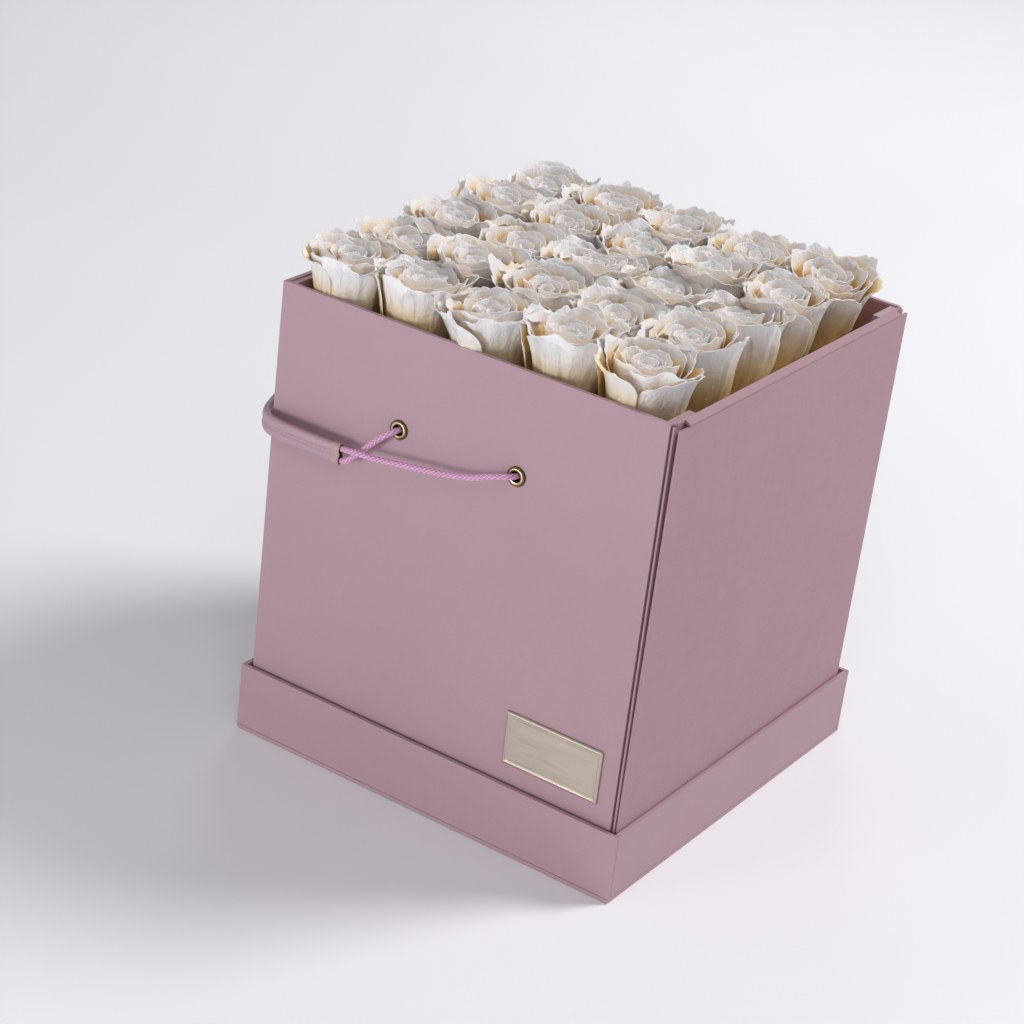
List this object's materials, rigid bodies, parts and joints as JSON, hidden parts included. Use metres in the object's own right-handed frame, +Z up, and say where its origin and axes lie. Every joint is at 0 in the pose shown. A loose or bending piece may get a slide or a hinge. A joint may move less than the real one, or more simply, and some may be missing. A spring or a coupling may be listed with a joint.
{
  "type": "flower box",
  "caption": "Square handled box of leather-cloth board with a folded-back lid, filled with preserved rose heads, standing loose in a shallow tray.",
  "frame": {"origin": "middle of the tray's underside", "axes": "+Z up, -Y to the front wall with the nameplate, -X to the side the handle lies round"},
  "size_m": [0.2888, 0.2774, 0.307],
  "materials": {
    "leather_cloth": "satin leather-grain cloth glued on board",
    "lined_cloth": "satin cloth with a faint linen weave, glued on thin board",
    "handle_cloth": "soft stitched leather cloth",
    "antique_brass": "antique, darker at the rim",
    "gold_metal": "brushed champagne gold with a polished bevel",
    "braided_cord": "round braid, slightly glossy",
    "petals": "preserved petals, soft satin, thin at the edges",
    "grey_board": "raw grey board",
    "foam": "dry foam"
  },
  "bodies": {
    "tray": {"tray_floor": "leather_cloth", "tray_rim_front": "leather_cloth", "tray_rim_back": "leather_cloth", "tray_rim_left": "leather_cloth", "tray_rim_right": "leather_cloth"},
    "box": {"box_base": "grey_board", "platform": "grey_board", "riser": "grey_board", "wall_front": "leather_cloth", "wall_back": "leather_cloth", "wall_left": "leather_cloth", "wall_right": "lined_cloth", "lid_panel": "lined_cloth", "lid_spine": "lined_cloth", "ear_left_front": "leather_cloth", "ear_right_front": "leather_cloth", "ear_left_back": "leather_cloth", "ear_right_back": "leather_cloth", "eyelet_front_left": "antique_brass", "eyelet_front_right": "antique_brass", "eyelet_back_left": "antique_brass", "eyelet_back_right": "antique_brass", "knot_front_left": "braided_cord", "knot_front_right": "braided_cord", "knot_back_left": "braided_cord", "knot_back_right": "braided_cord", "nameplate": "gold_metal", "rose_1_1": "petals", "rose_1_2": "petals", "rose_1_3": "petals", "rose_1_4": "petals", "rose_1_5": "petals", "rose_2_1": "petals", "rose_2_2": "petals", "rose_2_3": "petals", "rose_2_4": "petals", "rose_2_5": "petals", "rose_3_1": "petals", "rose_3_2": "petals", "rose_3_3": "petals", "rose_3_4": "petals", "rose_3_5": "petals", "rose_4_1": "petals", "rose_4_2": "petals", "rose_4_3": "petals", "rose_4_4": "petals", "rose_4_5": "petals", "rose_5_1": "petals", "rose_5_2": "petals", "rose_5_3": "petals", "rose_5_4": "petals", "rose_5_5": "petals", "foam_block": "foam"},
    "handle": {"sleeve_front": "handle_cloth", "sleeve_grip": "handle_cloth", "sleeve_back": "handle_cloth", "cord_front_left": "braided_cord", "cord_front_right": "braided_cord", "cord_back_left": "braided_cord", "cord_back_right": "braided_cord"}
  },
  "joints": [
    {"name": "box_lift", "type": "slide", "parent": "tray", "child": "box", "axis": [0, 0, 1], "range_m": [0, 0.06]},
    {"name": "handle_swing", "type": "hinge", "parent": "box", "child": "handle", "pos_m": [0.0005, -0.002, 0.2225], "axis": [0, 1, 0], "range_deg": [0, 195], "deforming": ["sleeve_front", "sleeve_back", "cord_front_left", "cord_front_right", "cord_back_left", "cord_back_right"]}
  ]
}
